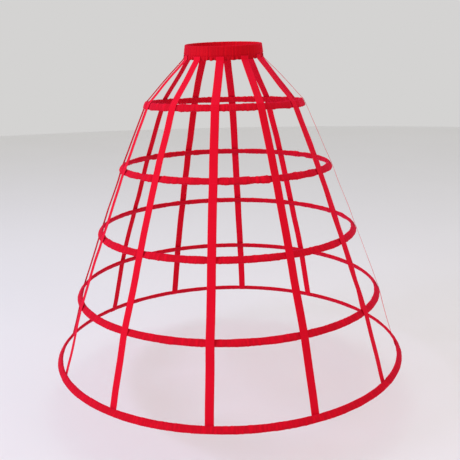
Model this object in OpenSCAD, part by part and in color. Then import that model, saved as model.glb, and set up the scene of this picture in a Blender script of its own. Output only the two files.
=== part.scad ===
// Crinoline cage: five cloth-cased hoops hung on flat tapes from an elastic waistband.
// Origin in the middle of the waist opening, +Z up, front towards -Y, millimetres.

/* [Waistband] */
// Width of the waist line, side to side, at the middle of the band
waist_w = 210; // [160:1:300]
// Depth of the waist line, front to back
waist_d = 168; // [130:1:260]
// Height of the band from its top fold to the hem of the frill
waist_h = 36; // [30:0.5:60]
// Height of the gathered frill below the stitch line
frill_h = 9.5; // [6:0.5:18]
// How much wider each side is at the hem than at the top fold
waist_flare = 4; // [0:0.5:16]
// Forward tilt of the waist line, in degrees
waist_tilt = 6; // [0:0.5:12]
// Thickness of one layer of the band's cloth
cloth_t = 0.9; // [0.5:0.1:1.5]
// Thickness of the elastic in the band
elastic_t = 1.4; // [0.8:0.1:2.5]
// Room between the elastic and its channel, on each side
elastic_fit = 0.3; // [0.2:0.05:0.6]
// Gathers of the frill between two tapes
gather_n = 3; // [1:1:4]
// How far a gather stands out or in at the hem
gather_depth = 2.2; // [0:0.1:3]

/* [Hoops] */
// Diameter of the hip hoop, at the middle of its casing
hoop_1_d = 435; // [380:1:480]
// Diameter of the second hoop
hoop_2_d = 583; // [540:1:620]
// Diameter of the third hoop
hoop_3_d = 723; // [690:1:760]
// Diameter of the fourth hoop
hoop_4_d = 862; // [830:1:900]
// Diameter of the hem hoop
hoop_5_d = 1000; // [960:1:1100]
// Drop from the waist line to the hip hoop
hoop_1_drop = 141; // [120:1:160]
// Drop from the waist line to the second hoop
hoop_2_drop = 311; // [280:1:340]
// Drop from the waist line to the third hoop
hoop_3_drop = 488; // [460:1:520]
// Drop from the waist line to the fourth hoop
hoop_4_drop = 669; // [640:1:700]
// Drop from the waist line to the hem hoop
hoop_5_drop = 854; // [820:1:910]
// Lean of the hip hoop's flat side from upright, in degrees
hip_lean = 26; // [15:1:40]
// Lean of the other hoops' flat sides from upright, in degrees
hoop_lean = 40; // [25:1:50]

/* [Casings] */
// Width of a hoop casing across its flat side
casing_w = 19; // [17:0.5:26]
// Thickness of a hoop casing
casing_t = 8; // [6:0.5:10]

/* [Hoop steels] */
// Width of the flat spring strip in a casing
steel_w = 12; // [8:0.5:13]
// Thickness of the spring strip
steel_t = 1.5; // [1:0.1:2]
// Gap between the two ends of a strip
steel_gap = 2; // [0.5:0.5:6]
// Room between a strip and its casing, on each side
steel_fit = 0.4; // [0.2:0.05:0.5]
// Length of the crimped sleeve that joins the two ends
joiner_l = 40; // [25:1:60]
// Wall of the crimped sleeve
joiner_wall = 0.5; // [0.3:0.1:0.7]
// Room between a strip and its sleeve, on each side
joiner_fit = 0.15; // [0.1:0.05:0.3]

/* [Tapes] */
// Number of tapes round the cage
tape_n = 12; // [8:1:14]
// Width of a tape
tape_w = 20; // [12:0.5:24]
// Thickness of a tape
tape_t = 0.8; // [0.4:0.1:1.2]
// Length of each tape that is sewn flat on the waistband
tape_lap = 6; // [4:0.5:8]
// Length over which a tape turns away from the waistband
tape_turn = 4; // [2:0.5:5]
// Room between a tape and the piece that it is sewn to
tape_fit = 0.3; // [0.2:0.05:0.5]

/* [Hidden] */
$fn = 180;
cloth_red = "#d8142a";
casing_red = "#c81024";
band_red = "#e01830";
elastic_white = "#e8e6e0";
steel_grey = "#b8bcc2";
joiner_grey = "#8d9196";

hoop_r = [hoop_1_d, hoop_2_d, hoop_3_d, hoop_4_d, hoop_5_d] / 2;
hoop_drop = [hoop_1_drop, hoop_2_drop, hoop_3_drop, hoop_4_drop, hoop_5_drop];
lean = [hip_lean, hoop_lean, hoop_lean, hoop_lean, hoop_lean];
hem = len(hoop_r) - 1;

// The tapes lie outside every hoop but the hem hoop, where they lie inside
face = [for (k = [0:hem]) k < hem ? 1 : -1];

// The steel's ends meet at the back, half-way between two tapes
join_azimuth = 180 - 180 / tape_n;
joiner_w = steel_w + 2 * (joiner_fit + joiner_wall);
joiner_t = steel_t + 2 * (joiner_fit + joiner_wall);

function hoop_name(k, piece) = str("hoop_", k + 1, "_", piece);
function tape_name(i) = str("tape_", i < 9 ? "0" : "", i + 1);

// Outward and sideways directions at azimuth a, measured from the front towards +X
function outward(a) = [sin(a), -cos(a), 0];
function sideways(a) = [cos(a), sin(a), 0];

// The waist line is an oval. At azimuth a, where it faces outward(a), it lies this far out and this far aside.
function waist_reach(a) = norm([waist_w * sin(a), waist_d * cos(a)]) / 2;
function waist_aside(a) = (waist_w ^ 2 - waist_d ^ 2) * sin(a) * cos(a) / (4 * waist_reach(a));
function flare(z) = -z * waist_flare / waist_h;

// A point of the band: s outward from the waist line and z above it, on the tilted waist
function waist_point(a, s, z) =
  let (p = (waist_reach(a) + s + flare(z)) * outward(a) + waist_aside(a) * sideways(a))
  p + [0, 0, z + p.y * tan(waist_tilt)];

// Heights in the band, and distances from the middle of its thickness
band_top = waist_h / 2;
band_hem = -waist_h / 2;
stitch_z = band_hem + frill_h;
pinch = 2 * cloth_t;
channel_s = elastic_t / 2 + elastic_fit;
channel_low = stitch_z + pinch;
channel_high = band_top - cloth_t;
slit_s = elastic_fit / 2;
frill_s = slit_s + cloth_t;
bulge_s = channel_s + cloth_t;
shoulder_z = band_top - bulge_s;

// The folded strip in section, as [s, z]: up the outside, over the fold, down the inside,
// then back up and down the faces that hold the elastic
fold_angles = [0, 45, 90, 135, 180];
band_section = concat(
  [[frill_s, band_hem], [frill_s, stitch_z], [bulge_s, channel_low]],
  [for (f = fold_angles) [bulge_s * cos(f), shoulder_z + bulge_s * sin(f)]],
  [[-bulge_s, channel_low], [-frill_s, stitch_z], [-frill_s, band_hem]],
  [[-slit_s, band_hem], [-slit_s, stitch_z], [-channel_s, channel_low], [-channel_s, channel_high]],
  [[channel_s, channel_high], [channel_s, channel_low], [slit_s, stitch_z], [slit_s, band_hem]]
);
elastic_section = [
  for (c = [[1, 0], [1, 1], [-1, 1], [-1, 0]])
  [c.x * elastic_t / 2, c.y == 0 ? channel_low + elastic_fit : channel_high - elastic_fit]
];

// Round the band the frill lies flat under each tape and waves in the gap between two tapes.
// One gap gives the stations [azimuth, wave], with four stations to a gather.
tape_step = 360 / tape_n;
gap_n = 4 * gather_n;
function waist_bend(a) = (waist_w * waist_d / 4) ^ 2 / waist_reach(a) ^ 3;
function flat_half(a) = asin((tape_w / 2 + tape_t) / waist_bend(a));
function wave(i, gap) = sin(90 * i) * (0.8 + 0.2 * sin(100 * i + 70 * gap));
function gap_azimuth(gap, share) =
  let (from = gap * tape_step, to = from + tape_step)
  (1 - share) * (from + flat_half(from)) + share * (to - flat_half(to));
band_stations = [
  for (gap = [0:tape_n - 1]) each concat(
    [[gap * tape_step, 0]],
    [for (i = [0:gap_n]) [gap_azimuth(gap, i / gap_n), wave(i, gap)]]
  )
];
function gather(z, w) = gather_depth * w * max(0, (stitch_z - z) / frill_h);

// Triangles of a closed band of n stations with m section points each
function band_faces(n, m) = [
  for (i = [0:n - 1])
  for (j = [0:m - 1])
  let (p = i * m, q = ((i + 1) % n) * m, t = (j + 1) % m)
  each [[p + j, q + j, p + t], [p + t, q + j, q + t]]
];

module band(section) {
  points = [
    for (c = band_stations)
    for (p = section)
    waist_point(c[0], p[0] + gather(p[1], c[1]), p[1])
  ];
  polyhedron(points, band_faces(len(band_stations), len(section)));
}

module waistband() {
  color(band_red)
  band(band_section);
}

module waist_elastic() {
  color(elastic_white)
  band(elastic_section);
}

// A flat strip's section with round edges, as one outline
edge_n = 8;
function round_edge(w, t, edge) = [
  for (i = [0:edge_n])
  let (f = edge * 90 + 180 * (i / edge_n - 1 / 2))
  [t / 2 * cos(f), edge * (w - t) / 2 + t / 2 * sin(f)]
];
module strip_section(w, t) {
  polygon(concat(round_edge(w, t, 1), round_edge(w, t, -1)));
}

// An arc of hoop k that is length long and centred on the join
module at_join(k, length) {
  sweep = length / hoop_r[k] * 180 / PI;
  rotate([0, 0, join_azimuth - 90 - sweep / 2])
    rotate_extrude(angle = sweep)
      in_section(k)
        children();
}

module in_section(k) {
  translate([hoop_r[k], -hoop_drop[k]])
    rotate(lean[k])
      children();
}

module hoop_casing(k) {
  color(casing_red)
  difference() {
    rotate_extrude()
      in_section(k)
        difference() {
          strip_section(casing_w, casing_t);
          strip_section(steel_w + 2 * steel_fit, steel_t + 2 * steel_fit);
        }
    at_join(k, joiner_l + 2 * steel_fit)
      strip_section(joiner_w + 2 * steel_fit, joiner_t + 2 * steel_fit);
  }
}

module hoop_steel(k) {
  gap = steel_gap / hoop_r[k] * 180 / PI;
  color(steel_grey)
  rotate([0, 0, join_azimuth - 90 + gap / 2])
    rotate_extrude(angle = 360 - gap)
      in_section(k)
        strip_section(steel_w, steel_t);
}

module hoop_joiner(k) {
  color(joiner_grey)
  at_join(k, joiner_l)
    difference() {
      strip_section(joiner_w, joiner_t);
      strip_section(steel_w + 2 * joiner_fit, steel_t + 2 * joiner_fit);
    }
}

// A tape in side view, as [distance from the axis, height]. Its slope is its angle from upright.
function downward(slope) = [sin(slope), -cos(slope)];
function lifted(slope) = [cos(slope), sin(slope)];
function hoop_at(k) = [hoop_r[k], -hoop_drop[k]];

// The casing's round edges lie this far from its middle, and a tape's inner face this far from an edge's centre
edge_e = (casing_w - casing_t) / 2;
function off(k) = casing_t / 2 + tape_fit + (face[k] < 0 ? tape_t : 0);

// Where a tape of this slope touches the casing of hoop k, on its lower (1) or upper (-1) round edge
function touch(k, slope, edge) = hoop_at(k) + edge * edge_e * downward(lean[k]) + face[k] * off(k) * lifted(slope);
function edge_for(k, slope) = face[k] * (slope > lean[k] ? -1 : 1);
function reach(k, slope) = face[k] * (off(k) + edge_e * abs(sin(lean[k] - slope)));

// Slope of the straight run from a point, or from hoop k, to the next hoop: tangent to both, by repeated correction
function slope_between(from, to) = atan2(to.x - from.x, from.y - to.y);
function run_slope(from, to, k_from, k_to, slope, passes) =
  passes == 0 ? slope
  : let (lag = reach(k_to, slope) - (k_from < 0 ? 0 : reach(k_from, slope)))
    run_slope(from, to, k_from, k_to, slope_between(from, to) + asin(lag / norm(to - from)), passes - 1);
correct_n = 6;
function hoop_slope(k) =
  let (from = hoop_at(k), to = hoop_at(k + 1))
  run_slope(from, to, k, k + 1, slope_between(from, to), correct_n);
function hip_slope(from) = run_slope(from, hoop_at(0), -1, 0, slope_between(from, hoop_at(0)), correct_n);

// A tape bends round a hoop in small steps where it presses on it, and in one where it hardly does
bend_n = 4;
least_bend = 1;
function bend(k, slope_in, slope_out) =
  (slope_in - slope_out) * face[k] > least_bend
  ? [for (i = [0:bend_n]) slope_in + (slope_out - slope_in) * i / bend_n]
  : [(slope_in + slope_out) / 2];

// Stations of the tape at azimuth a, each [distance out, height, distance aside, slope]
function tape_stations(a) =
  let (
    band_slope = atan(waist_flare / waist_h),
    tape_s = frill_s + tape_fit,
    top = waist_point(a, tape_s, stitch_z),
    sewn = waist_point(a, tape_s, stitch_z - tape_lap),
    aside = waist_aside(a),
    top_at = [top * outward(a), top.z],
    sewn_at = [sewn * outward(a), sewn.z],
    turn_at = sewn_at + tape_turn * downward(band_slope),
    leaving = hip_slope(turn_at),
    left_at = turn_at + tape_turn * downward(leaving),
    slopes = concat([leaving], [for (k = [0:hem - 1]) hoop_slope(k)], [lean[hem]])
  )
  concat(
    [[each top_at, aside, band_slope]],
    [
      for (i = [0:bend_n])
      let (u = i / bend_n)
      [
        each (1 - u) ^ 2 * sewn_at + 2 * u * (1 - u) * turn_at + u ^ 2 * left_at,
        aside,
        band_slope + (leaving - band_slope) * u
      ]
    ],
    [
      for (k = [0:hem])
      for (slope = bend(k, slopes[k], slopes[k + 1]))
      [each touch(k, slope, edge_for(k, slope)), 0, slope]
    ],
    [[each touch(hem, lean[hem], 1), 0, lean[hem]]]
  );

// Faces of a strip of n stations with four corners each, closed at both ends
function strip_faces(n) = concat(
  [[0, 1, 2, 3]],
  [for (i = [0:n - 2]) for (j = [0:3]) let (p = 4 * i, t = (j + 1) % 4) [p + t, p + j, p + 4 + j, p + 4 + t]],
  [[for (j = [3:-1:0]) 4 * (n - 1) + j]]
);

module tape(a) {
  stations = tape_stations(a);
  points = [
    for (c = stations)
    for (corner = [[-1, 0], [1, 0], [1, 1], [-1, 1]])
    let (p = [c[0], c[1]] + corner.y * tape_t * lifted(c[3]))
    p.x * outward(a) + (c[2] + corner.x * tape_w / 2) * sideways(a) + [0, 0, p.y]
  ];
  color(cloth_red)
  polyhedron(points, strip_faces(len(stations)));
}

waistband();
waist_elastic();
for (k = [0:hem]) {
  hoop_casing(k);
  hoop_steel(k);
  hoop_joiner(k);
}
for (i = [0:tape_n - 1])
  tape(i * tape_step);
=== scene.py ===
# %% [markdown]
# A crinoline cage, dressed
#
# A crinoline cage is a skirt frame: cloth-covered hoops of growing size hang on flat tapes from a
# gathered waistband. The solid model already holds every piece at its real size. This lesson gives each
# piece its cloth: ruched casings, ribbed ribbon, a gathered band and the sewing that holds them. We load
# the frame first, because every piece is placed in it.

# %% Load the frame
import math

import bmesh
import bpy
import numpy as np
from mathutils import Matrix, Vector


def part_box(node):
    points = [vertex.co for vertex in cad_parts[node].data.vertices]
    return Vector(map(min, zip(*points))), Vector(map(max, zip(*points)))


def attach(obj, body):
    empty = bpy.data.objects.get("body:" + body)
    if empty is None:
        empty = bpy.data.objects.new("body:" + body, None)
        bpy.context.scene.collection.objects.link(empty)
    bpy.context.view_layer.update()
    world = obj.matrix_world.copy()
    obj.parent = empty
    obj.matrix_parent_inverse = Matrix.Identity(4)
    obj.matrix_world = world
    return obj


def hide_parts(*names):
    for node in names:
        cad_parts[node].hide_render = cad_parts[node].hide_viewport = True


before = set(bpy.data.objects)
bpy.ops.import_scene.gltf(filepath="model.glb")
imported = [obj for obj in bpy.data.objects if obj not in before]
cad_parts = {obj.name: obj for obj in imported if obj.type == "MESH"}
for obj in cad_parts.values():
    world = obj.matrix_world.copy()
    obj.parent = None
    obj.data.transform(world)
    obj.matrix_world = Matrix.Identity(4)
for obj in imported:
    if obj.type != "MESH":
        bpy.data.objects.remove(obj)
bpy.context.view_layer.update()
MM = 0.001
print("frame", len(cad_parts), "nodes")

# %% [markdown]
# A few small helpers carry the whole lesson. One turns a colour as a painter writes it, in sRGB hex, into
# the linear numbers that a renderer adds up. One adds a node with its settings and its links, in a shader
# or in Geometry Nodes. One turns lists of points and faces into a named mesh object. The last two bake a
# piece's modifiers, and turn a closed mesh that came out inside out.

# %% Helpers


def linear(hex_colour):
    """An sRGB hex colour as linear red, green, blue and alpha."""
    parts = [int(hex_colour[i : i + 2], 16) / 255 for i in (1, 3, 5)]
    return [c / 12.92 if c <= 0.04045 else ((c + 0.055) / 1.055) ** 2.4 for c in parts] + [1.0]


def add_node(tree, kind, inputs=None, **settings):
    """Adds a node, sets its properties, and links or sets each input by its name or number."""
    made = tree.nodes.new(kind)
    for name, value in settings.items():
        setattr(made, name, value)
    for name, value in (inputs or {}).items():
        if isinstance(value, bpy.types.NodeSocket):
            tree.links.new(value, made.inputs[name])
        else:
            made.inputs[name].default_value = value
    return made


def mesh_piece(name, points, faces, material, cloth_mm=None):
    """A mesh object at the origin. cloth_mm gives each point's place on the flat cloth, in millimetres."""
    mesh = bpy.data.meshes.new(name)
    mesh.from_pydata([tuple(p) for p in points], [], [tuple(f) for f in faces])
    mesh.materials.append(material)
    if cloth_mm is not None:
        flat = mesh.attributes.new("cloth_mm", "FLOAT_VECTOR", "POINT")
        flat.data.foreach_set("vector", np.asarray(cloth_mm, np.float32).ravel())
    mesh.shade_smooth()
    piece = bpy.data.objects.new(name, mesh)
    bpy.context.scene.collection.objects.link(piece)
    return piece


def settle(piece):
    """Bakes a piece's modifiers into a plain mesh."""
    graph = bpy.context.evaluated_depsgraph_get()
    mesh = bpy.data.meshes.new_from_object(piece.evaluated_get(graph))
    piece.modifiers.clear()
    piece.data = mesh
    mesh.name = piece.name
    return piece


def face_out(piece):
    """Turns the faces of a closed piece outwards, where its signed volume shows that they point inwards."""
    shape = bmesh.new()
    shape.from_mesh(piece.data)
    if shape.calc_volume(signed=True) < 0:
        piece.data.flip_normals()
    shape.free()
    return piece


print("mid grey #808080 is", round(linear("#808080")[0], 3), "in linear light")

# %% [markdown]
# Where each hoop sits comes from the frame. A hoop's box gives its outer radius and its height, and the
# casing's section (a flattened tube that leans outwards at its lower edge) takes us from there to its
# middle line. The five hoops are kept as (radius, height) pairs in metres. The sections themselves are
# written as real sizes.

# %% Sizes from the frame
CASING_W = 19 * MM
CASING_T = 8 * MM
EDGE = (CASING_W - CASING_T) / 2
LEANS = [math.radians(26)] + [math.radians(40)] * 4
HEM = len(LEANS) - 1


def hoop_middle(k):
    low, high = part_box(f"hoop_{k + 1}_casing")
    half = EDGE * math.sin(LEANS[k]) + CASING_T / 2
    return np.array([high[0] - half, (low[2] + high[2]) / 2])


hoops = [hoop_middle(k) for k in range(HEM + 1)]
for k, (radius, height) in enumerate(hoops):
    print(f"hoop {k + 1}: radius {radius / MM:.1f} mm, height {height / MM:.1f} mm")

# %% [markdown]
# The cloth is dyed cotton. Cotton has no mirror gloss: it scatters light, and its loose fibres catch a
# soft bloom at grazing angles, which the shader calls sheen. Every cloth here is the same recipe with
# other numbers, so one function makes it: a base red that drifts slightly in dye depth, painted shade that
# darkens it in the creases where an attribute says so, and a bump of threads. Real threads are about 0.4 mm
# apart, too fine to show in a picture of the whole cage, so they are drawn coarser.

# %% Cloth materials
SHEEN_TINT = linear("#ff2c78")
DYE_PATCH = 71.4 * MM
# Blender's wave texture has 20 / (2 pi) bands to the unit at a scale of 1.
WAVE_TURNS = 2 * math.pi / 20


def dyed_cloth(name, light, dark, thread_mm, rib_mm, crease, sheen):
    """Woven cloth: threads thread_mm apart along, rib_mm across, with painted shade where the crease
    attribute is low.
    """
    material = bpy.data.materials.new(name)
    material.use_nodes = True
    tree = material.node_tree
    shader = tree.nodes["Principled BSDF"]
    flat = add_node(tree, "ShaderNodeAttribute", attribute_name="cloth_mm").outputs["Vector"]
    along = add_node(
        tree, "ShaderNodeTexWave", {"Vector": flat, "Scale": WAVE_TURNS / thread_mm, "Distortion": 0.6},
        wave_type="BANDS", bands_direction="X",
    )
    across = add_node(
        tree, "ShaderNodeTexWave", {"Vector": flat, "Scale": WAVE_TURNS / rib_mm, "Distortion": 0.6},
        wave_type="BANDS", bands_direction="Y",
    )
    weave = add_node(
        tree, "ShaderNodeMath", {0: along.outputs["Fac"], 1: across.outputs["Fac"]}, operation="MULTIPLY"
    )
    bump = add_node(
        tree, "ShaderNodeBump", {"Height": weave.outputs[0], "Strength": 0.35, "Distance": 0.3 * MM}
    )
    place = add_node(tree, "ShaderNodeTexCoord").outputs["Object"]
    dye = add_node(tree, "ShaderNodeTexNoise", {"Vector": place, "Scale": 1 / DYE_PATCH, "Detail": 3.0})
    dye_and_crease_shade = add_node(
        tree, "ShaderNodeMapRange",
        {"Value": dye.outputs["Fac"], "From Min": 0.3, "From Max": 0.7, "To Min": 0.7, "To Max": 1.0},
    ).outputs["Result"]
    # Painted shade: where the crease attribute is low, in the valleys of the gathers, the colour is pulled
    # towards the dark red.
    if crease:
        fold = add_node(tree, "ShaderNodeAttribute", attribute_name=crease).outputs["Fac"]
        shade = add_node(
            tree, "ShaderNodeMapRange",
            {"Value": fold, "From Min": 0.0, "From Max": 0.6, "To Min": 0.3, "To Max": 1.0},
        ).outputs["Result"]
        dye_and_crease_shade = add_node(tree, "ShaderNodeMath", {0: dye_and_crease_shade, 1: shade}, operation="MULTIPLY").outputs[0]
    colour = add_node(
        tree, "ShaderNodeMix", {"Factor": dye_and_crease_shade, 6: linear(dark), 7: linear(light)}, data_type="RGBA"
    )
    tree.links.new(colour.outputs[2], shader.inputs["Base Color"])
    tree.links.new(bump.outputs["Normal"], shader.inputs["Normal"])
    shader.inputs["Roughness"].default_value = 0.72
    shader.inputs["Specular IOR Level"].default_value = 0.06
    shader.inputs["Sheen Weight"].default_value = sheen
    shader.inputs["Sheen Roughness"].default_value = 0.5
    shader.inputs["Sheen Tint"].default_value = SHEEN_TINT
    return material


# Puckered cotton: bright puffs, and painted shade that gives a deeper red in the creases.
ruched_cotton = dyed_cloth("ruched_red_cotton", "#d80720", "#b40518", 1.6, 1.6, "ruche", 0.4)
# Ribbon: fine ribs across it and a few bands along it, so it reads flatter and firmer than the casings.
ribbed_ribbon = dyed_cloth("ribbed_red_ribbon", "#da0621", "#c6041b", 1.6, 6.7, None, 0.4)
# The band's cotton: the darkest red, because its gathers are close and shade each other.
band_cotton = dyed_cloth("gathered_red_cotton", "#d20414", "#8e020e", 1.4, 1.4, "ruche", 0.35)
# Thread: a little lighter than the cloth, so that a row of stitches can be seen on it.
sewing_thread = dyed_cloth("red_sewing_thread", "#ea2038", "#c80c20", 0.6, 0.6, None, 0.3)
print("cloths", [m.name for m in (ruched_cotton, ribbed_ribbon, band_cotton, sewing_thread)])

# %% [markdown]
# A casing is a strip of cotton sewn into a tube and pushed along the hoop, so the extra length gathers
# into small puckers across it. It could be sculpted, but a rule makes it better: sweep a flattened
# section round a circle, then push the surface along its normal by a crinkled noise. The noise reads
# the place on the middle line far more than the place round the section, so each pucker runs across the
# hoop. Its sizes are named inputs, so that one tree serves five different hoops, and the first cell makes
# such trees in general.

# %% Trees with named inputs


def new_tree(name, inputs, takes_geometry):
    """A Geometry Nodes tree with named inputs. Returns it with its input sockets and their identifiers."""
    tree = bpy.data.node_groups.new(name, "GeometryNodeTree")
    tree.interface.new_socket("Geometry", in_out="OUTPUT", socket_type="NodeSocketGeometry")
    if takes_geometry:
        tree.interface.new_socket("Geometry", in_out="INPUT", socket_type="NodeSocketGeometry")
    keys = {}
    for label, kind in inputs.items():
        keys[label] = tree.interface.new_socket(label, in_out="INPUT", socket_type=kind).identifier
    sockets = add_node(tree, "NodeGroupInput").outputs
    return tree, sockets, keys


def set_tree(owner, tree, keys, values):
    """Gives an object a tree as its modifier, with each input set by its identifier."""
    modifier = owner.modifiers.new(tree.name, "NODES")
    modifier.node_group = tree
    for label, value in values.items():
        modifier[keys[label]] = value


# %% [markdown]
# First the smooth casing. Its middle line is a circle whose normals are held level, so that the section
# keeps its lean all the way round. The section starts as a circle too: its upper and lower halves are
# pulled apart into a flat oblong with round edges, and it is then turned by the lean. Both curves note
# their own length as they are made, because the material will need a place on the flat strip.

# %% The smooth casing
SECTION_STEEP = 2.0


def casing_middle_line(tree, given, place, length):
    """The circle of a hoop, which remembers its own points and the length along it."""
    circle = add_node(
        tree, "GeometryNodeCurvePrimitiveCircle",
        {"Resolution": given["Steps round hoop"], "Radius": given["Hoop radius"]},
    )
    level = add_node(tree, "GeometryNodeSetCurveNormal", {"Curve": circle.outputs["Curve"]}, mode="Z_UP")
    ring = add_node(tree, "GeometryNodeCaptureAttribute", {"Geometry": level.outputs["Curve"]})
    ring.capture_items.new("VECTOR", "middle")
    ring.capture_items.new("FLOAT", "along")
    tree.links.new(place, ring.inputs[1])
    tree.links.new(length, ring.inputs[2])
    return ring.outputs


def casing_section(tree, given, place, length):
    """The flattened, leaning section of a casing, which remembers the length round it."""
    half = add_node(tree, "ShaderNodeMath", {0: given["Thickness"], 1: 0.5}, operation="MULTIPLY")
    dot = add_node(
        tree, "GeometryNodeCurvePrimitiveCircle",
        {"Resolution": given["Steps round casing"], "Radius": half.outputs[0]},
    )
    height = add_node(tree, "ShaderNodeSeparateXYZ", {0: place}).outputs["Y"]
    share = add_node(tree, "ShaderNodeMath", {0: height, 1: half.outputs[0]}, operation="DIVIDE")
    steep = add_node(tree, "ShaderNodeMath", {0: share.outputs[0], 1: SECTION_STEEP}, operation="MULTIPLY")
    limit = add_node(tree, "ShaderNodeClamp", {"Value": steep.outputs[0], "Min": -1.0, "Max": 1.0})
    pull = add_node(
        tree, "ShaderNodeMath", {0: limit.outputs[0], 1: given["Edge distance"]}, operation="MULTIPLY"
    )
    pulled = add_node(tree, "ShaderNodeCombineXYZ", {"Y": pull.outputs[0]})
    flat = add_node(
        tree, "GeometryNodeSetPosition", {"Geometry": dot.outputs["Curve"], "Offset": pulled.outputs[0]}
    )
    turn = add_node(tree, "ShaderNodeMath", {0: given["Lean"], 1: -1.0}, operation="MULTIPLY")
    turned = add_node(tree, "ShaderNodeCombineXYZ", {"Z": turn.outputs[0]})
    leaned = add_node(
        tree, "GeometryNodeTransform", {"Geometry": flat.outputs[0], "Rotation": turned.outputs[0]}
    )
    section = add_node(tree, "GeometryNodeCaptureAttribute", {"Geometry": leaned.outputs[0]})
    section.capture_items.new("FLOAT", "around")
    tree.links.new(length, section.inputs[1])
    return section.outputs


girth = math.pi * CASING_T + 4 * EDGE
print(f"a smooth casing is {girth / MM:.0f} mm round")

# %% [markdown]
# Under a tape the puffs are pressed nearly flat, so the tree has to know how far the nearest tape is. The
# tapes are evenly spaced, so the angle round the hoop, folded back and forth between one tape and the next,
# gives it for all of them at once.

# %% How far the nearest tape is
PRESS_REACH = 1.8


def free_of_tapes(tree, given, middle):
    """0 under a tape, rising to 1 beside it."""
    spots = add_node(tree, "ShaderNodeSeparateXYZ", {0: middle}).outputs
    angle = add_node(tree, "ShaderNodeMath", {0: spots["X"], 1: spots["Y"]}, operation="ARCTAN2")
    spare = add_node(tree, "ShaderNodeMath", {0: given["Tape spacing"], 1: 0.5}, operation="MULTIPLY")
    nearest = add_node(
        tree, "ShaderNodeMath", {0: angle.outputs[0], 1: spare.outputs[0]}, operation="PINGPONG"
    )
    apart = add_node(
        tree, "ShaderNodeMath", {0: nearest.outputs[0], 1: given["Hoop radius"]}, operation="MULTIPLY"
    )
    half = given["Tape half width"]
    wider = add_node(tree, "ShaderNodeMath", {0: half, 1: PRESS_REACH}, operation="MULTIPLY")
    return add_node(
        tree, "ShaderNodeMapRange",
        {"Value": apart.outputs[0], "From Min": half, "From Max": wider.outputs[0]},
        interpolation_type="SMOOTHSTEP",
    ).outputs["Result"]


print(f"puffs are free from {PRESS_REACH} half widths of a tape outwards")

# %% [markdown]
# Now the puckers. Noise runs smoothly from 0 to 1; stretched to run from -2 to 2 and folded at nought, it
# gets sharp valleys and round tops, as gathered cloth has. A second, slower noise gives loose lumps. Both
# are eased towards a tape.

# %% Puckers and lumps
LUMP_PITCH = 34 * MM
ACROSS_SHARE = 0.22
NOISE_GAIN = 4.0
PUFF_RISE = 0.9
PRESSED = 0.35


def stretched_noise(tree, given, spot, rate, detail):
    """Noise at a spot, stretched to run from about -2 to 2."""
    noise = add_node(
        tree, "ShaderNodeTexNoise",
        {"Vector": spot, "W": given["Seed"], "Scale": rate, "Detail": detail},
        noise_dimensions="4D",
    )
    return add_node(
        tree, "ShaderNodeMath",
        {0: noise.outputs[0], 1: NOISE_GAIN, 2: -NOISE_GAIN / 2},
        operation="MULTIPLY_ADD",
    ).outputs[0]


def pucker_push(tree, given, place, middle):
    """The crease (0 in a valley, 1 on a puff), painted as shade by the material, and the push along the
    normal that makes it.
    """
    across = add_node(tree, "ShaderNodeVectorMath", {0: place, 1: middle}, operation="SUBTRACT")
    some = add_node(
        tree, "ShaderNodeVectorMath", {0: across.outputs[0], "Scale": ACROSS_SHARE}, operation="SCALE"
    )
    spot = add_node(tree, "ShaderNodeVectorMath", {0: middle, 1: some.outputs[0]}, operation="ADD").outputs[0]
    rate = add_node(tree, "ShaderNodeMath", {0: 1.0, 1: given["Pucker pitch"]}, operation="DIVIDE")
    fine = stretched_noise(tree, given, spot, rate.outputs[0], 1.6)
    loose = stretched_noise(tree, given, spot, 1 / LUMP_PITCH, 1.0)
    folded = add_node(tree, "ShaderNodeMath", {0: fine}, operation="ABSOLUTE")
    ruche = add_node(tree, "ShaderNodeClamp", {"Value": folded.outputs[0], "Min": 0.0, "Max": 1.0}).outputs[0]

    free = free_of_tapes(tree, given, middle)
    sink = add_node(tree, "ShaderNodeMath", {0: ruche, 1: 1.0}, operation="SUBTRACT")
    puffed = add_node(
        tree, "ShaderNodeMath", {0: free, 1: PUFF_RISE, 2: sink.outputs[0]}, operation="MULTIPLY_ADD"
    )
    ease = add_node(
        tree, "ShaderNodeMath", {0: free, 1: 1 - PRESSED, 2: PRESSED}, operation="MULTIPLY_ADD"
    )
    eased = add_node(
        tree, "ShaderNodeMath", {0: puffed.outputs[0], 1: ease.outputs[0]}, operation="MULTIPLY"
    )
    small = add_node(
        tree, "ShaderNodeMath", {0: eased.outputs[0], 1: given["Pucker depth"]}, operation="MULTIPLY"
    )
    lump = add_node(tree, "ShaderNodeMath", {0: loose, 1: given["Lump depth"]}, operation="MULTIPLY")
    move = add_node(
        tree, "ShaderNodeMath", {0: lump.outputs[0], 1: free, 2: small.outputs[0]}, operation="MULTIPLY_ADD"
    )
    normal = add_node(tree, "GeometryNodeInputNormal").outputs[0]
    push = add_node(tree, "ShaderNodeVectorMath", {0: normal, "Scale": move.outputs[0]}, operation="SCALE")
    return ruche, push.outputs[0]


print(f"lumps about {LUMP_PITCH / MM:.0f} mm long; under a tape {PRESSED:.0%} of a pucker is left")

# %% [markdown]
# Then the tree is put together: sweep, store what the material reads (the crease, for its painted shade, and
# the place on the flat strip in millimetres), push, lift to the hoop's height, and set the cloth.

# %% The casing tree
CASING_INPUTS = {
    "Hoop radius": "NodeSocketFloat",
    "Hoop height": "NodeSocketFloat",
    "Lean": "NodeSocketFloat",
    "Thickness": "NodeSocketFloat",
    "Edge distance": "NodeSocketFloat",
    "Pucker pitch": "NodeSocketFloat",
    "Pucker depth": "NodeSocketFloat",
    "Lump depth": "NodeSocketFloat",
    "Tape spacing": "NodeSocketFloat",
    "Tape half width": "NodeSocketFloat",
    "Seed": "NodeSocketFloat",
    "Steps round hoop": "NodeSocketInt",
    "Steps round casing": "NodeSocketInt",
    "Cloth": "NodeSocketMaterial",
}


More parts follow.
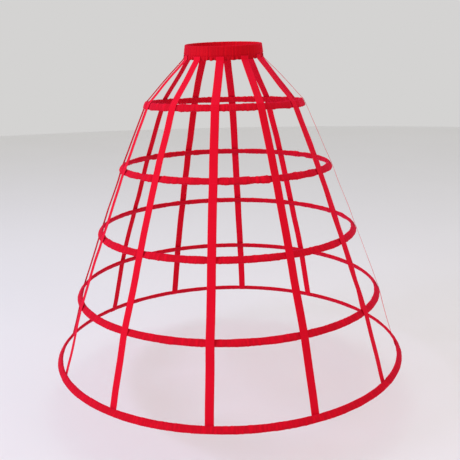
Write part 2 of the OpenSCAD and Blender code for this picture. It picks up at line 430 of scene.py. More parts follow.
def casing_tree():
    tree, given, keys = new_tree("ruched_casing", CASING_INPUTS, False)
    place = add_node(tree, "GeometryNodeInputPosition").outputs[0]
    length = add_node(tree, "GeometryNodeSplineParameter").outputs["Length"]
    ring = casing_middle_line(tree, given, place, length)
    section = casing_section(tree, given, place, length)
    ruche, push = pucker_push(tree, given, place, ring[1])
    tube = add_node(tree, "GeometryNodeCurveToMesh", {"Curve": ring[0], "Profile Curve": section[0]})
    # The crease is stored as an attribute, from which the material paints shade in the valleys.
    marked = add_node(
        tree, "GeometryNodeStoreNamedAttribute",
        {"Geometry": tube.outputs["Mesh"], "Name": "ruche", "Value": ruche},
        data_type="FLOAT", domain="POINT",
    )
    strip = add_node(tree, "ShaderNodeCombineXYZ", {"X": ring[2], "Y": section[1]})
    strip_mm = add_node(
        tree, "ShaderNodeVectorMath", {0: strip.outputs[0], "Scale": 1 / MM}, operation="SCALE"
    )
    mapped = add_node(
        tree, "GeometryNodeStoreNamedAttribute",
        {"Geometry": marked.outputs[0], "Name": "cloth_mm", "Value": strip_mm.outputs[0]},
        data_type="FLOAT_VECTOR", domain="POINT",
    )
    puckered = add_node(tree, "GeometryNodeSetPosition", {"Geometry": mapped.outputs[0], "Offset": push})
    lift = add_node(tree, "ShaderNodeCombineXYZ", {"Z": given["Hoop height"]})
    placed = add_node(
        tree, "GeometryNodeTransform", {"Geometry": puckered.outputs[0], "Translation": lift.outputs[0]}
    )
    smooth = add_node(tree, "GeometryNodeSetShadeSmooth", {"Geometry": placed.outputs[0]})
    real = add_node(tree, "GeometryNodeRealizeInstances", {"Geometry": smooth.outputs[0]})
    clothed = add_node(
        tree, "GeometryNodeSetMaterial", {"Geometry": real.outputs[0], "Material": given["Cloth"]}
    )
    add_node(tree, "NodeGroupOutput", {0: clothed.outputs[0]})
    return tree, keys


ruched_casing, casing_keys = casing_tree()
print("tree", ruched_casing.name, len(ruched_casing.nodes), "nodes")

# %% [markdown]
# Now the tree runs once for each hoop. In the real thing the upper casings are drawn up more tightly than
# the lower ones, so their puckers are deeper. Each tube then gets the thickness of its cotton.

# %% Five casings
TAPE_N = 12
RIBBON_W = 21.6 * MM
COTTON_T = 0.8 * MM
STEP_ROUND_HOOP = 1.9 * MM
STEPS_ROUND_CASING = 20
PUCKER_PITCHES = [8 * MM, 7.5 * MM, 7 * MM, 6.5 * MM, 6.5 * MM]
PUCKER_DEPTHS = [1.8 * MM, 1.6 * MM, 1.3 * MM, 0.9 * MM, 0.8 * MM]
LUMP_DEPTHS = [1.6 * MM, 1.3 * MM, 0.8 * MM, 0.4 * MM, 0.4 * MM]
casings = []
for k, (radius, height) in enumerate(hoops):
    casing = mesh_piece(f"casing_{k + 1}", [], [], ruched_cotton)
    set_tree(
        casing, ruched_casing, casing_keys,
        {
            "Hoop radius": float(radius),
            "Hoop height": float(height),
            "Lean": LEANS[k],
            "Thickness": CASING_T,
            "Edge distance": EDGE,
            "Pucker pitch": PUCKER_PITCHES[k],
            "Pucker depth": PUCKER_DEPTHS[k],
            "Lump depth": LUMP_DEPTHS[k],
            "Tape spacing": 2 * math.pi / TAPE_N,
            "Tape half width": RIBBON_W / 2,
            "Seed": float(k),
            "Steps round hoop": round(2 * math.pi * radius / STEP_ROUND_HOOP),
            "Steps round casing": STEPS_ROUND_CASING,
            "Cloth": ruched_cotton,
        },
    )
    face_out(settle(casing))
    wall = casing.modifiers.new("cotton", "SOLIDIFY")
    wall.thickness = COTTON_T
    wall.offset = -1
    settle(casing)
    casings.append(casing)
    print(casing.name, len(casing.data.polygons), "faces")

# %% [markdown]
# A tape hangs from the band, lies over the outside of four hoops and ends behind the fifth. Pulled
# straight by the weight of the hoops, it is a belt over rollers: straight runs that are tangent to each
# casing, with short bends round their edges. We work the route out in side view, as distance from the
# axis and height, with the slope measured from upright, and find each tangent by correcting a first guess
# a few times.

# %% Tangents from hoop to hoop
TAPE_T = 0.8 * MM
FIT = 0.3 * MM
FACES = [1] * HEM + [-1]
BEND_N = 6
CORRECT_N = 6
LEAST_BEND = math.radians(1)


def downward(slope):
    return np.array([math.sin(slope), -math.cos(slope)])


def lifted(slope):
    return np.array([math.cos(slope), math.sin(slope)])


def off(k):
    """How far a tape's inner face lies from the centre of a casing's round edge."""
    return CASING_T / 2 + FIT + (TAPE_T if FACES[k] < 0 else 0)


def touch(k, slope, edge):
    return hoops[k] + edge * EDGE * downward(LEANS[k]) + FACES[k] * off(k) * lifted(slope)


def reach(k, slope):
    return FACES[k] * (off(k) + EDGE * abs(math.sin(LEANS[k] - slope)))


def run_slope(start, end, k_from, k_to):
    """Slope of the straight run tangent to hoop k_to, and to hoop k_from where there is one."""
    straight = math.atan2(end[0] - start[0], start[1] - end[1])
    slope = straight
    for _ in range(CORRECT_N):
        lag = reach(k_to, slope) - (0 if k_from is None else reach(k_from, slope))
        slope = straight + math.asin(lag / np.linalg.norm(end - start))
    return slope


def bend(k, slope_in, slope_out):
    """Slopes at which the tape touches hoop k: several where it presses on it, one where it hardly does."""
    if (slope_in - slope_out) * FACES[k] > LEAST_BEND:
        return np.linspace(slope_in, slope_out, BEND_N + 1)
    return [(slope_in + slope_out) / 2]


runs = [run_slope(hoops[k], hoops[k + 1], k, k + 1) for k in range(HEM)]
print("slopes between hoops", [round(math.degrees(slope), 1) for slope in runs], "degrees")

# %% [markdown]
# The waist is an oval. A tape leaves it where the oval faces the tape's own way, so the tape needs no
# twist. These few lines give a point of the band: how far out, how high, and where round the waist. The
# whole waist dips a little towards the front, as a waist does.

# %% The waist line
WAIST_W = 210 * MM
WAIST_D = 168 * MM
WAIST_H = 36 * MM
WAIST_FLARE = 4 * MM
WAIST_TILT = math.radians(6)


def outward(azimuth):
    return np.array([math.sin(azimuth), -math.cos(azimuth), 0.0])


def sideways(azimuth):
    return np.array([math.cos(azimuth), math.sin(azimuth), 0.0])


def waist_reach(azimuth):
    return math.hypot(WAIST_W * math.sin(azimuth), WAIST_D * math.cos(azimuth)) / 2


def waist_aside(azimuth):
    return (WAIST_W**2 - WAIST_D**2) * math.sin(azimuth) * math.cos(azimuth) / (4 * waist_reach(azimuth))


def waist_point(azimuth, s, z):
    """A point s outward from the waist line and z above it."""
    out = waist_reach(azimuth) + s - z * WAIST_FLARE / WAIST_H
    p = out * outward(azimuth) + waist_aside(azimuth) * sideways(azimuth)
    return p + np.array([0, 0, z + p[1] * math.tan(WAIST_TILT)])


print("front of the waist at", np.round(waist_point(0.0, 0, 0) / MM, 1), "mm")

# %% [markdown]
# Now the whole route. The top of a tape is sewn flat on the frill of the band, then turns in a short curve
# and runs down to the first hoop. From there it follows the tangents, and it ends on the lower edge of the
# hem hoop.

# %% The route of a tape
FRILL_H = 9.5 * MM
STITCH_Z = FRILL_H - WAIST_H / 2
BAND_T = 0.9 * MM
SLIT_S = 0.15 * MM
FRILL_S = SLIT_S + BAND_T
TAPE_LAP = 6 * MM
TAPE_TURN = 4 * MM


def tape_route(azimuth):
    """Stations [distance out, height, distance aside, slope] of a tape's inner face, from the top down."""
    band_slope = math.atan(WAIST_FLARE / WAIST_H)
    aside = waist_aside(azimuth)
    ends = [waist_point(azimuth, FRILL_S + FIT, STITCH_Z - d) for d in (0, TAPE_LAP)]
    top, sewn = [np.array([p @ outward(azimuth), p[2]]) for p in ends]
    turn = sewn + TAPE_TURN * downward(band_slope)
    leaving = run_slope(turn, hoops[0], None, 0)
    left = turn + TAPE_TURN * downward(leaving)
    slopes = [leaving] + runs + [LEANS[HEM]]
    stations = [[*top, aside, band_slope]]
    for u in np.linspace(0, 1, BEND_N + 1):
        p = (1 - u) ** 2 * sewn + 2 * u * (1 - u) * turn + u**2 * left
        stations.append([*p, aside, band_slope + (leaving - band_slope) * u])
    for k in range(HEM + 1):
        for slope in bend(k, slopes[k], slopes[k + 1]):
            edge = FACES[k] * (-1 if slope > LEANS[k] else 1)
            stations.append([*touch(k, slope, edge), 0.0, slope])
    stations.append([*touch(HEM, LEANS[HEM], 1), 0.0, LEANS[HEM]])
    return np.array(stations)


front = tape_route(0.0)
tape_length = float(np.linalg.norm(np.diff(front[:, :3], axis=0), axis=1).sum())
print(f"front tape {tape_length / MM:.0f} mm long")

# %% [markdown]
# The ribbon itself is a thin strip with firm woven edges. Across it, we draw a closed outline with a bead
# near each edge for the selvedge. Along it, the route gets a station every few millimetres. The cloth is
# 0.8 mm wider on each side than its solid.

# %% The section and stations of a ribbon
STATION_STEP = 4 * MM
LEAST_STEP = 0.2 * MM
ACROSS_N = 12
SELVEDGE = 1.5 * MM
SELVEDGE_RISE = 0.12 * MM
RIM_STEEP = 3
LEAST_RIM = 0.1


def resample(route, step):
    """The same route with stations about step apart, and each one's distance along it."""
    along = np.concatenate([[0], np.cumsum(np.linalg.norm(np.diff(route[:, :3], axis=0), axis=1))])
    at = np.unique(np.concatenate([along, np.arange(0, along[-1], step)]))
    at = at[np.concatenate([[True], np.diff(at) > LEAST_STEP])]
    return np.stack([np.interp(at, along, route[:, c]) for c in range(4)], axis=1), at


def ribbon_outline():
    """The ribbon's section, as (place across, height): the outer face, then the inner one back."""
    across = np.linspace(-1, 1, ACROSS_N + 1) * RIBBON_W / 2
    inset = np.clip((RIBBON_W / 2 - np.abs(across)) / SELVEDGE, 0, 1)
    bead = SELVEDGE_RISE * np.sin(math.pi * inset)
    rim = TAPE_T / 2 * np.sqrt(1 - (1 - np.clip(inset * RIM_STEEP, LEAST_RIM, 1)) ** 2)
    outer = np.stack([across, TAPE_T / 2 + rim + bead], axis=1)
    inner = np.stack([across, TAPE_T / 2 - rim], axis=1)
    return np.concatenate([outer, inner[::-1]])


print("ribbon outline", len(ribbon_outline()), "points")

# %% [markdown]
# A ribbon is never ruler-flat, but where it is sewn down or lies on a hoop it can't move. This measure says
# how free it is at each station, by the height between it and the nearest hoop.

# %% Where a tape is free
HELD_REACH = 14 * MM
LOOSE_REACH = 40 * MM


def near_hoop(stations):
    """0 where a tape is sewn or lies on a hoop, rising to 1 between."""
    heights = [h[1] for h in hoops] + [stations[0, 1] - TAPE_LAP / 2]
    gap = np.min([np.abs(stations[:, 1] - h) for h in heights], axis=0)
    share = np.clip((gap - HELD_REACH) / LOOSE_REACH, 0, 1)
    return share**2 * (3 - 2 * share)


front_free = near_hoop(resample(front, STATION_STEP)[0])
print(f"front tape is free at {(front_free > 0).mean():.0%} of its stations")

# %% [markdown]
# Where it is free, it drifts, cups and sways by a millimetre or so. Each tape draws its own waves from a
# fixed seed. The mesh is then the outline carried along the stations.

# %% Twelve tapes
DRIFT = 0.9 * MM
CUP = 0.45 * MM
SWAY = 0.5 * MM
LONG_WAVE = 75 * MM
SHORT_WAVE = 31 * MM
SHORT_SHARE = 0.6
CUP_WAVE = 60 * MM
SWAY_WAVE = 90 * MM
draw = np.random.default_rng(12)


def strip_faces(n, m):
    """Faces of a closed strip of n rings with m points each, with a face at either end."""
    faces = [
        (p * m + j, p * m + (j + 1) % m, (p + 1) * m + (j + 1) % m, (p + 1) * m + j)
        for p in range(n - 1)
        for j in range(m)
    ]
    return faces + [tuple(range(m - 1, -1, -1)), tuple(range((n - 1) * m, n * m))]


def make_tape(i):
    azimuth = 2 * math.pi * i / TAPE_N
    stations, at = resample(tape_route(azimuth), STATION_STEP)
    outline = ribbon_outline()
    free = near_hoop(stations)
    phase = draw.uniform(0, 2 * math.pi, 4)
    pace = draw.uniform(0.8, 1.2, 4)
    wave = (LONG_WAVE, SHORT_WAVE, CUP_WAVE, SWAY_WAVE)
    slow, quick, curl, side = [np.sin(at / w * p + f) for w, p, f in zip(wave, pace, phase)]
    drift = DRIFT * free * (slow + SHORT_SHARE * quick)
    cup = CUP * free * curl
    sway = SWAY * free * side
    points, cloth = [], []
    for c, d, b, s, a in zip(stations, drift, cup, sway, at):
        for across, height in outline:
            lift = height + d + b * ((2 * across / RIBBON_W) ** 2 - 0.5)
            out, up = c[:2] + lift * lifted(c[3])
            points.append(out * outward(azimuth) + (c[2] + s + across) * sideways(azimuth) + [0, 0, up])
            cloth.append((a / MM, across / MM, 0))
    faces = strip_faces(len(stations), len(outline))
    return face_out(mesh_piece(f"tape_ribbon_{i + 1:02d}", points, faces, ribbed_ribbon, cloth))


tapes = [make_tape(i) for i in range(TAPE_N)]
print("tapes", len(tapes), "with", sum(len(t.data.polygons) for t in tapes), "faces")

# %% [markdown]
# The waistband is one strip of cotton folded over into a channel, with elastic inside; below the stitch
# line both layers hang as a loose frill. Cut across, the middle of the cloth is one line: up the outside,
# over the fold and down the inside.

# %% The section of the waistband
CHANNEL_S = 1.0 * MM
FOLD_S = CHANNEL_S + BAND_T / 2
HANG_S = SLIT_S + BAND_T / 2
BAND_TOP = WAIST_H / 2 - BAND_T / 2
SWELL = ((0.8 * MM, 0.5), (1.6 * MM, 0.85), (2.6 * MM, 1.0))


def band_section():
    """The middle of the folded strip, as (s, z): the outer hem, up, over and down to the inner hem."""
    fold_z = BAND_TOP - FOLD_S
    frill = [(HANG_S, z) for z in np.linspace(-WAIST_H / 2, STITCH_Z, 7)]
    rise = [(HANG_S + (FOLD_S - HANG_S) * share, STITCH_Z + up) for up, share in SWELL]
    wall = [(FOLD_S, z) for z in np.linspace(rise[-1][1], fold_z, 8)[1:]]
    turns = np.linspace(0, math.pi, 9)[1:-1]
    over = [(FOLD_S * math.cos(f), fold_z + FOLD_S * math.sin(f)) for f in turns]
    side = frill + rise + wall
    return np.array(side + over + [(-s, z) for s, z in side[::-1]])


print("band section", len(band_section()), "points")

# %% [markdown]
# The elastic draws the band up, so its channel puckers and its frill waves. The waves are sums of sines
# with whole numbers of turns, so they close exactly after one round. Under a sewn tape the frill lies
# flat.

# %% Gathers round the waist
FLAT_REACH = 4 * MM
band_draw = np.random.default_rng(7)


def waves(azimuths, counts):
    """Irregular waves that close after one turn: a few whole numbers of waves with random starts."""
    total = np.zeros(len(azimuths))
    for count in counts:
        total += np.sin(count * azimuths + band_draw.uniform(0, 2 * math.pi)) * band_draw.uniform(0.6, 1.0)
    return total / len(counts)


def flat_under_tape(azimuth):
    """0 under a tape, rising to 1 in the gaps between tapes."""
    step = 2 * math.pi / TAPE_N
    aside = (azimuth + step / 2) % step - step / 2
    bend_radius = (WAIST_W * WAIST_D / 4) ** 2 / waist_reach(azimuth) ** 3
    return min(max((abs(aside) * bend_radius - RIBBON_W / 2) / FLAT_REACH, 0), 1)


print("frill is free by", round(flat_under_tape(math.pi / TAPE_N), 2), "midway between two tapes")

# %% [markdown]
# Each point of the strip is then moved by those waves: the frill in and out, most at its hem, the channel
# in small puckers that fade towards the fold, the hem up and down, and the fold up only. The channel is
# also puffed off the elastic, so that no pucker cuts into it. The same waves say how deep in a crease each
# point lies, and the frill gets darker towards its hem; the material paints both as shade.

# %% Points of the gathered strip
WAVE_GAIN = 1.6
GATHER_DEPTH = 2.4 * MM
GATHER_POWER = 0.8
HEM_WAVE = 1.3 * MM
TOP_WAVE_SHARE = 0.35
PUCKER = 0.42 * MM
PUCKER_FADE = 0.6
CHANNEL_PUFF = 0.8 * MM
SWELL_LOW = 0.8 * MM
SWELL_SPAN = 1.8 * MM
CREASE_LEVEL = 0.4
FRILL_CREASE = 0.5
CHANNEL_CREASE = 0.16
FRILL_SHADE = 0.15


def band_points(azimuths, section):
    """Points of the gathered strip, station by station, with its place on the flat cloth and its crease, read
    as painted shade.
    """
    gather = WAVE_GAIN * waves(azimuths, (47, 59, 73))
    pucker = WAVE_GAIN * waves(azimuths, (61, 83, 97, 120))
    hem = waves(azimuths, (29, 41, 66))
    strip = np.concatenate([[0], np.cumsum(np.linalg.norm(np.diff(section, axis=0), axis=1))])
    points, cloth, crease = [], [], []
    round_waist = 0.0
    last = waist_point(azimuths[0], 0, 0)
    for a, g, p, h in zip(azimuths, gather, pucker, hem):
        flat = flat_under_tape(a)
        here = waist_point(a, 0, 0)
        round_waist += float(np.linalg.norm(here - last))
        last = here
        for (s, z), w in zip(section, strip):
            below = max(0.0, (STITCH_Z - z) / FRILL_H)
            above = max(0.0, (z - STITCH_Z) / (WAIST_H - FRILL_H))
            frill = GATHER_DEPTH * below**GATHER_POWER * g * flat
            loose = min(max((z - STITCH_Z - SWELL_LOW) / SWELL_SPAN, 0.0), 1.0)
            puffed = (CHANNEL_PUFF * loose + PUCKER * p) * (1 - PUCKER_FADE * above)
            draw_up = puffed * (flat + (1 - flat) * loose)
            drop = HEM_WAVE * (h * below * flat + TOP_WAVE_SHARE * max(h, 0.0) * above)
            points.append(waist_point(a, s + frill + draw_up * (1 if s >= 0 else -1), z + drop))
            cloth.append((round_waist / MM, w / MM, 0))
            # Painted shade: darker in the gathers of the frill and the puckers of the channel, and darker
            # down the frill towards the hem.
            folds = FRILL_CREASE * g * flat * below + CHANNEL_CREASE * p * (1 - below)
            crease.append(CREASE_LEVEL + folds - FRILL_SHADE * below)
    return points, cloth, crease, round_waist


print("frill waves in and out by about", GATHER_DEPTH / MM, "mm")

# %% [markdown]
# The strip is one sheet, from the outer hem over the fold to the inner hem. Solidify then gives it the
# thickness of its cotton, half to each side.

# %% The waistband
BAND_STATIONS = 720


def make_waistband():
    azimuths = np.linspace(0, 2 * math.pi, BAND_STATIONS, endpoint=False)
    section = band_section()
    points, cloth, crease, round_waist = band_points(azimuths, section)
    n, m = len(azimuths), len(section)
    faces = [
        (i * m + j, ((i + 1) % n) * m + j, ((i + 1) % n) * m + j + 1, i * m + j + 1)
        for i in range(n)
        for j in range(m - 1)
    ]
    piece = mesh_piece("waistband_cloth", points, faces, band_cotton, cloth)
    # The crease values become the attribute from which the material paints shade.
    ruche = piece.data.attributes.new("ruche", "FLOAT", "POINT")
    ruche.data.foreach_set("value", np.asarray(crease, np.float32))
    wall = piece.modifiers.new("cotton", "SOLIDIFY")
    wall.thickness = BAND_T
    wall.offset = 0
    wall.use_even_offset = False
    return face_out(settle(piece)), round_waist


waistband, waist_round = make_waistband()
print(f"waistband {waist_round / MM:.0f} mm round, {len(waistband.data.polygons)} faces")

# %% [markdown]
# Sewing is what repeats most, so it is a tree too. A row of sewing is a curve; the tree cuts it at the
# stitch pitch, sets a ball of thread on every cut, stretches it to a stitch and turns it along the row.
# The same tree sews the seam of the band and the tacks that hold each tape to each hoop.

# %% A tree for stitches
STITCH_INPUTS = {
    "Pitch": "NodeSocketFloat",
    "Stitch length": "NodeSocketFloat",
    "Thread radius": "NodeSocketFloat",
    "Thread": "NodeSocketMaterial",
}


def stitch_tree():
    tree, given, keys = new_tree("stitch_rows", STITCH_INPUTS, True)
    cuts = add_node(
        tree, "GeometryNodeResampleCurve",
        {"Curve": given["Geometry"], "Length": given["Pitch"]},
        mode="LENGTH",
    )
    way = add_node(tree, "GeometryNodeInputTangent").outputs[0]
    turn = add_node(tree, "FunctionNodeAlignRotationToVector", {"Vector": way}, axis="Z")
    ball = add_node(
        tree, "GeometryNodeMeshUVSphere", {"Segments": 6, "Rings": 5, "Radius": given["Thread radius"]}
    )
    stretch = add_node(
        tree, "ShaderNodeMath", {0: given["Stitch length"], 1: given["Thread radius"]}, operation="DIVIDE"
    )
    half = add_node(tree, "ShaderNodeMath", {0: stretch.outputs[0], 1: 0.5}, operation="MULTIPLY")
    size = add_node(tree, "ShaderNodeCombineXYZ", {"X": 1.0, "Y": 1.0, "Z": half.outputs[0]})
    sewn = add_node(
        tree, "GeometryNodeInstanceOnPoints",
        {
            "Points": cuts.outputs[0],
            "Instance": ball.outputs["Mesh"],
            "Rotation": turn.outputs[0],
            "Scale": size.outputs[0],
        },
    )
    real = add_node(tree, "GeometryNodeRealizeInstances", {"Geometry": sewn.outputs[0]})
    smooth = add_node(tree, "GeometryNodeSetShadeSmooth", {"Geometry": real.outputs[0]})
    threaded = add_node(
        tree, "GeometryNodeSetMaterial", {"Geometry": smooth.outputs[0], "Material": given["Thread"]}
    )
    add_node(tree, "NodeGroupOutput", {0: threaded.outputs[0]})
    return tree, keys


stitch_rows, stitch_keys = stitch_tree()
print("tree", stitch_rows.name, len(stitch_rows.nodes), "nodes")

# %% [markdown]
# The band has one seam, just where the frill begins. To sew it, its line becomes a curve, the tree turns
# the curve into stitches, and only the stitches are kept. Real thread is about 0.3 mm thick; here it is
# drawn nearly twice as thick, so that it shows.

# %% Sew the seam of the band
THREAD_R = 0.28 * MM
SEAM_PITCH = 3.4 * MM
SEAM_STITCH = 2.4 * MM
SEAM_POINTS = 360
SEAM_LIFT = 0.1 * MM


def sew(name, rows, pitch, length, closed=False):
    """Sews each row of points with stitches and keeps all of them as one mesh."""
    curve = bpy.data.curves.new(name + "_rows", "CURVE")
    curve.dimensions = "3D"
    for row in rows:
        line = curve.splines.new("POLY")
        line.points.add(len(row) - 1)
        line.points.foreach_set("co", np.concatenate([row, np.ones((len(row), 1))], axis=1).ravel())
        line.use_cyclic_u = closed
    guide = bpy.data.objects.new(name + "_rows", curve)
    bpy.context.scene.collection.objects.link(guide)
    sizes = {"Pitch": pitch, "Stitch length": length, "Thread radius": THREAD_R, "Thread": sewing_thread}
    set_tree(guide, stitch_rows, stitch_keys, sizes)
    graph = bpy.context.evaluated_depsgraph_get()
    mesh = bpy.data.meshes.new_from_object(guide.evaluated_get(graph))
    bpy.data.objects.remove(guide)
    bpy.data.curves.remove(curve)
    mesh.name = name
    piece = bpy.data.objects.new(name, mesh)
    bpy.context.scene.collection.objects.link(piece)
    print(name, len(rows), "rows,", len(mesh.polygons), "faces")
    return piece


turns = np.linspace(0, 2 * math.pi, SEAM_POINTS, endpoint=False)
seam = np.array([waist_point(a, FRILL_S + SEAM_LIFT, STITCH_Z) for a in turns])
seam_thread = sew("waist_seam_thread", [seam], SEAM_PITCH, SEAM_STITCH, closed=True)

# %% [markdown]
# Each tape is tacked by two short rows wherever it meets a hoop, on its outer face, and on its inner face
# at the hem hoop, where it lies behind. Two more rows hold it to the band.

# %% Tack the tapes
TACK_PITCH = 2.6 * MM
TACK_STITCH = 1.9 * MM
TACK_HALF = 8.6 * MM
TACK_APART = 4.5 * MM
BAND_TACKS = (1.4 * MM, TAPE_LAP - 0.8 * MM)


def row_across(azimuth, station, lift):
    """A short row of sewing across a tape, lift above its inner face."""
    out, up = station[:2] + lift * lifted(station[3])
    ends = [
        out * outward(azimuth) + (station[2] + side * TACK_HALF) * sideways(azimuth) + np.array([0, 0, up])
        for side in (-1, 1)
    ]
    return np.array(ends)


def station_at(route, at, distance):
    return np.array([np.interp(distance, at, route[:, c]) for c in range(4)])


tack_rows = []
for i in range(TAPE_N):
    azimuth = 2 * math.pi * i / TAPE_N
    route, at = resample(tape_route(azimuth), STATION_STEP)
    for d in BAND_TACKS:
        tack_rows.append(row_across(azimuth, station_at(route, at, d), TAPE_T))
    for k in range(HEM + 1):
        middle = at[np.argmin(np.abs(route[:, 1] - hoops[k][1]))]
        for d in (-TACK_APART, TACK_APART):
            lift = TAPE_T if FACES[k] > 0 else 0.0
            tack_rows.append(row_across(azimuth, station_at(route, at, middle + d), lift))
tack_thread = sew("tape_tack_thread", tack_rows, TACK_PITCH, TACK_STITCH)

# %% [markdown]
# Inside the casings run strips of tempered spring steel, each joined to a ring by a crimped sleeve. Nothing
# shows of them while the cage is whole, but a part may be opened, so each keeps its solid shape and gets
# the finish of its real material. Both are bare metal, and they differ in tone and gloss.

# %% Steel finishes


def rolled_metal(name, colour, roughness, grain_mm):
    """Rolled or crimped steel: metallic, with a gloss that varies over grain_mm."""
    material = bpy.data.materials.new(name)
    material.use_nodes = True
    tree = material.node_tree
    shader = tree.nodes["Principled BSDF"]
    place = add_node(tree, "ShaderNodeTexCoord").outputs["Object"]
    grain = add_node(
        tree, "ShaderNodeTexNoise", {"Vector": place, "Scale": 1 / (grain_mm * MM), "Detail": 2.0}
    )
    gloss = add_node(
        tree, "ShaderNodeMapRange",
        {"Value": grain.outputs["Fac"], "To Min": roughness - 0.08, "To Max": roughness + 0.08},
    )
    tree.links.new(gloss.outputs["Result"], shader.inputs["Roughness"])
    shader.inputs["Base Color"].default_value = linear(colour)
    shader.inputs["Metallic"].default_value = 1.0
    return material


# Tempered strip is bright and fairly sharp; a crimped sleeve is greyer and duller.
spring_steel = rolled_metal("tempered_spring_steel", "#b9bdc4", 0.32, 0.8)
sleeve_steel = rolled_metal("crimped_steel_sheet", "#8e9298", 0.45, 1.2)
print("steels", spring_steel.name, sleeve_steel.name)

# %% [markdown]
# Inside the band runs white elastic, knitted with ribs that run round the waist. Bands across the height
# make them, with a bump and painted shade that makes the grooves between them slightly darker. Then every
# hidden solid gets its finish.

# %% Elastic, and finishes for the hidden pieces
RIB_PITCH = 1.5 * MM


def knitted_elastic():
    """White knitted elastic: matt, with soft ribs RIB_PITCH apart and painted shade in the grooves between
    them.
    """
    material = bpy.data.materials.new("white_knitted_elastic")
    material.use_nodes = True
    tree = material.node_tree
    shader = tree.nodes["Principled BSDF"]
    place = add_node(tree, "ShaderNodeTexCoord").outputs["Object"]
    ribs = add_node(
        tree, "ShaderNodeTexWave", {"Vector": place, "Scale": WAVE_TURNS / RIB_PITCH},
        wave_type="BANDS", bands_direction="Z",
    )
    bump = add_node(
        tree, "ShaderNodeBump", {"Height": ribs.outputs["Fac"], "Strength": 0.4, "Distance": 0.3 * MM}
    )
    # Painted shade: the same bands that make the bump make the grooves darker.
    colour = add_node(
        tree, "ShaderNodeMix", {"Factor": ribs.outputs["Fac"], 6: linear("#cfccc4"), 7: linear("#f1efe9")},
        data_type="RGBA",
    )
    tree.links.new(colour.outputs[2], shader.inputs["Base Color"])
    tree.links.new(bump.outputs["Normal"], shader.inputs["Normal"])
    shader.inputs["Roughness"].default_value = 0.85
    return material


finishes = {"steel": spring_steel, "joiner": sleeve_steel, "elastic": knitted_elastic()}
for name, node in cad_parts.items():
    for ending, material in finishes.items():
        if name.endswith(ending):
            for place in node.material_slots:
                place.material = material
print("hidden finishes", [m.name for m in finishes.values()])

# %% [markdown]
# Each new piece now takes the place of its solid: it hangs from the root body, and the solid is hidden; the
# threads hang there too. A casing is cut wider than its tube by a seam, and longer than its hoop by the
# gathers; the band is cut longer than the waist for the same reason. A tape is cut to its own length.

for k, casing in enumerate(casings):
    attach(casing, "root")
    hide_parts(f"hoop_{k + 1}_casing")
for i, tape in enumerate(tapes):
    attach(tape, "root")
    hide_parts(f"tape_{i + 1:02d}")
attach(waistband, "root")
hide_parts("waistband")
for thread in (seam_thread, tack_thread):
    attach(thread, "root")
print("declared", 1 + len(casings) + len(tapes), "sheets")

# %% [markdown]
# The stage is a pale matt floor, and the cage hangs above it as it is worn. The floor is painted, with
# only a faint cloudiness, so that the shadow of the hoops can be read on it.

# %% The floor
FLOOR_DROP = 145 * MM
FLOOR_R = 9.0
FLOOR_SIDES = 96
FLOOR_CLOUD = 1110 * MM


def make_floor():
    turns = np.linspace(0, 2 * math.pi, FLOOR_SIDES, endpoint=False)
    z = float(hoops[HEM][1]) - FLOOR_DROP
    points = [(FLOOR_R * math.cos(t), FLOOR_R * math.sin(t), z) for t in turns]
    material = bpy.data.materials.new("pale_matt_floor")
    material.use_nodes = True
    tree = material.node_tree
    shader = tree.nodes["Principled BSDF"]
    place = add_node(tree, "ShaderNodeTexCoord").outputs["Object"]
    cloud = add_node(tree, "ShaderNodeTexNoise", {"Vector": place, "Scale": 1 / FLOOR_CLOUD, "Detail": 2.0})
    colour = add_node(
        tree, "ShaderNodeMix", {"Factor": cloud.outputs["Fac"], 6: linear("#e8e8e8"), 7: linear("#ececec")},
        data_type="RGBA",
    )
    tree.links.new(colour.outputs[2], shader.inputs["Base Color"])
    shader.inputs["Roughness"].default_value = 0.6
    floor = mesh_piece("floor", points, [tuple(range(len(points)))], material)
    return floor


floor = make_floor()
print(f"floor at height {float(floor.data.vertices[0].co.z) / MM:.0f} mm")

# %% [markdown]
# The world does two jobs. It lights the cloth evenly from all round, and it is the pale backdrop. Those are
# two different strengths, so a Light Path node tells them apart: what the camera sees, straight on or in a
# mirror or through glass, is the backdrop, and everything else gets the light.

# %% Light all round
SKY = linear("#d4d3d2")
AROUND_LIGHT = linear("#f6f4f0")
AROUND_STRENGTH = 0.74


def pale_world():
    world = bpy.data.worlds.new("pale_surround")
    bpy.context.scene.world = world
    world.use_nodes = True
    tree = world.node_tree
    tree.nodes.clear()
    rays = add_node(tree, "ShaderNodeLightPath").outputs
    seen = add_node(
        tree, "ShaderNodeMath", {0: rays["Is Camera Ray"], 1: rays["Is Glossy Ray"]}, operation="MAXIMUM"
    )
    shown = add_node(
        tree, "ShaderNodeMath", {0: seen.outputs[0], 1: rays["Is Transmission Ray"]}, operation="MAXIMUM"
    )
    lit = add_node(tree, "ShaderNodeBackground", {"Color": AROUND_LIGHT, "Strength": AROUND_STRENGTH})
    sky = add_node(tree, "ShaderNodeBackground", {"Color": SKY, "Strength": 1.0})
    mix = add_node(tree, "ShaderNodeMixShader", {0: shown.outputs[0], 1: lit.outputs[0], 2: sky.outputs[0]})
    add_node(tree, "ShaderNodeOutputWorld", {"Surface": mix.outputs[0]})
    return world


print("world", pale_world().name)

# %% [markdown]
# Three soft lamps shape the cloth: a broad, cool one far out on the left, a weak warm one on the
# right, and a weaker one above. The left side comes out bright and the right side deep red. The big
# lamp is aimed above the cage, so that little of the floor near it burns out to white.

# %% Lamps
AIM = (0.0, 0.0, -0.45)
HIGH_AIM = (0.0, 0.0, 5.0)


def area_light(name, place, size, power, colour, aim=AIM):
    lamp = bpy.data.lights.new(name, "AREA")
    lamp.shape = "DISK"
    lamp.size = size
    lamp.energy = power
    lamp.color = linear(colour)[:3]
    light = bpy.data.objects.new(name, lamp)
    light.location = place
    light.rotation_euler = (Vector(aim) - Vector(place)).to_track_quat("-Z", "Y").to_euler()
    bpy.context.scene.collection.objects.link(light)
    return light


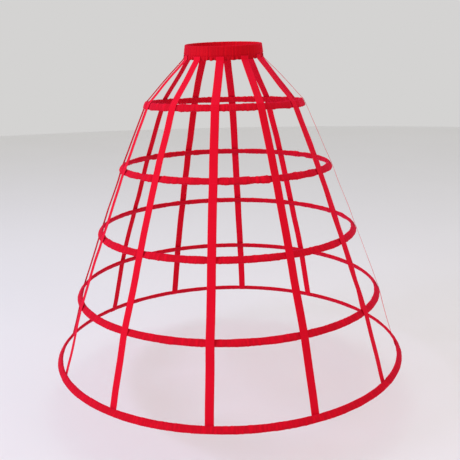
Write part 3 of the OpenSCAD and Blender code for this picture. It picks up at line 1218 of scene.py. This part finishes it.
lamps = [
    area_light("left_window", (-4.4, -2.7, 1.9), 3.0, 452, "#d6d4ff", HIGH_AIM),
    area_light("right_fill", (2.2, -1.6, 0.9), 1.6, 15, "#ffdcc4"),
    area_light("top_soft", (0.2, 0.4, 2.2), 2.2, 8, "#ffffff"),
]
print("lamps", [lamp.name for lamp in lamps])

# %% [markdown]
# The camera stands a little to one side of the front, at about waist height, and looks down. Its place and
# angles were found by matching the five hoops as ellipses, so they are written as real distances and
# degrees.

# %% Camera
CAMERA_AZIMUTH = math.radians(6)
CAMERA_DISTANCE = 1828.6 * MM
CAMERA_ABOVE_HEM = 806 * MM
CAMERA_PITCH = math.radians(14.026)
CAMERA_YAW = math.radians(0.251)
CAMERA_ROLL = math.radians(-1.187)
FOCAL_PX = 646.3
FRAME_PX = 460
SENSOR_MM = 36

heading = CAMERA_AZIMUTH - CAMERA_YAW
ahead = Vector((-math.sin(heading), math.cos(heading), 0))
right = Vector((math.cos(heading), math.sin(heading), 0))
forward = ahead * math.cos(CAMERA_PITCH) - Vector((0, 0, math.sin(CAMERA_PITCH)))
upward = ahead * math.sin(CAMERA_PITCH) + Vector((0, 0, math.cos(CAMERA_PITCH)))
rolled_right = right * math.cos(CAMERA_ROLL) + upward * math.sin(CAMERA_ROLL)
rolled_up = upward * math.cos(CAMERA_ROLL) - right * math.sin(CAMERA_ROLL)

lens = bpy.data.cameras.new("camera")
lens.sensor_width = SENSOR_MM
lens.lens = SENSOR_MM * FOCAL_PX / FRAME_PX
camera = bpy.data.objects.new("camera", lens)
bpy.context.scene.collection.objects.link(camera)
camera_place = CAMERA_DISTANCE * outward(CAMERA_AZIMUTH) + [0, 0, hoops[HEM][1] + CAMERA_ABOVE_HEM]
camera.matrix_world = Matrix(
    [
        [rolled_right[i], rolled_up[i], -forward[i], float(camera_place[i])]
        for i in range(3)
    ]
    + [[0, 0, 0, 1]]
)
bpy.context.scene.camera = camera
bpy.context.scene.view_settings.view_transform = "Standard"
print("camera at", [round(v, 3) for v in camera.location])
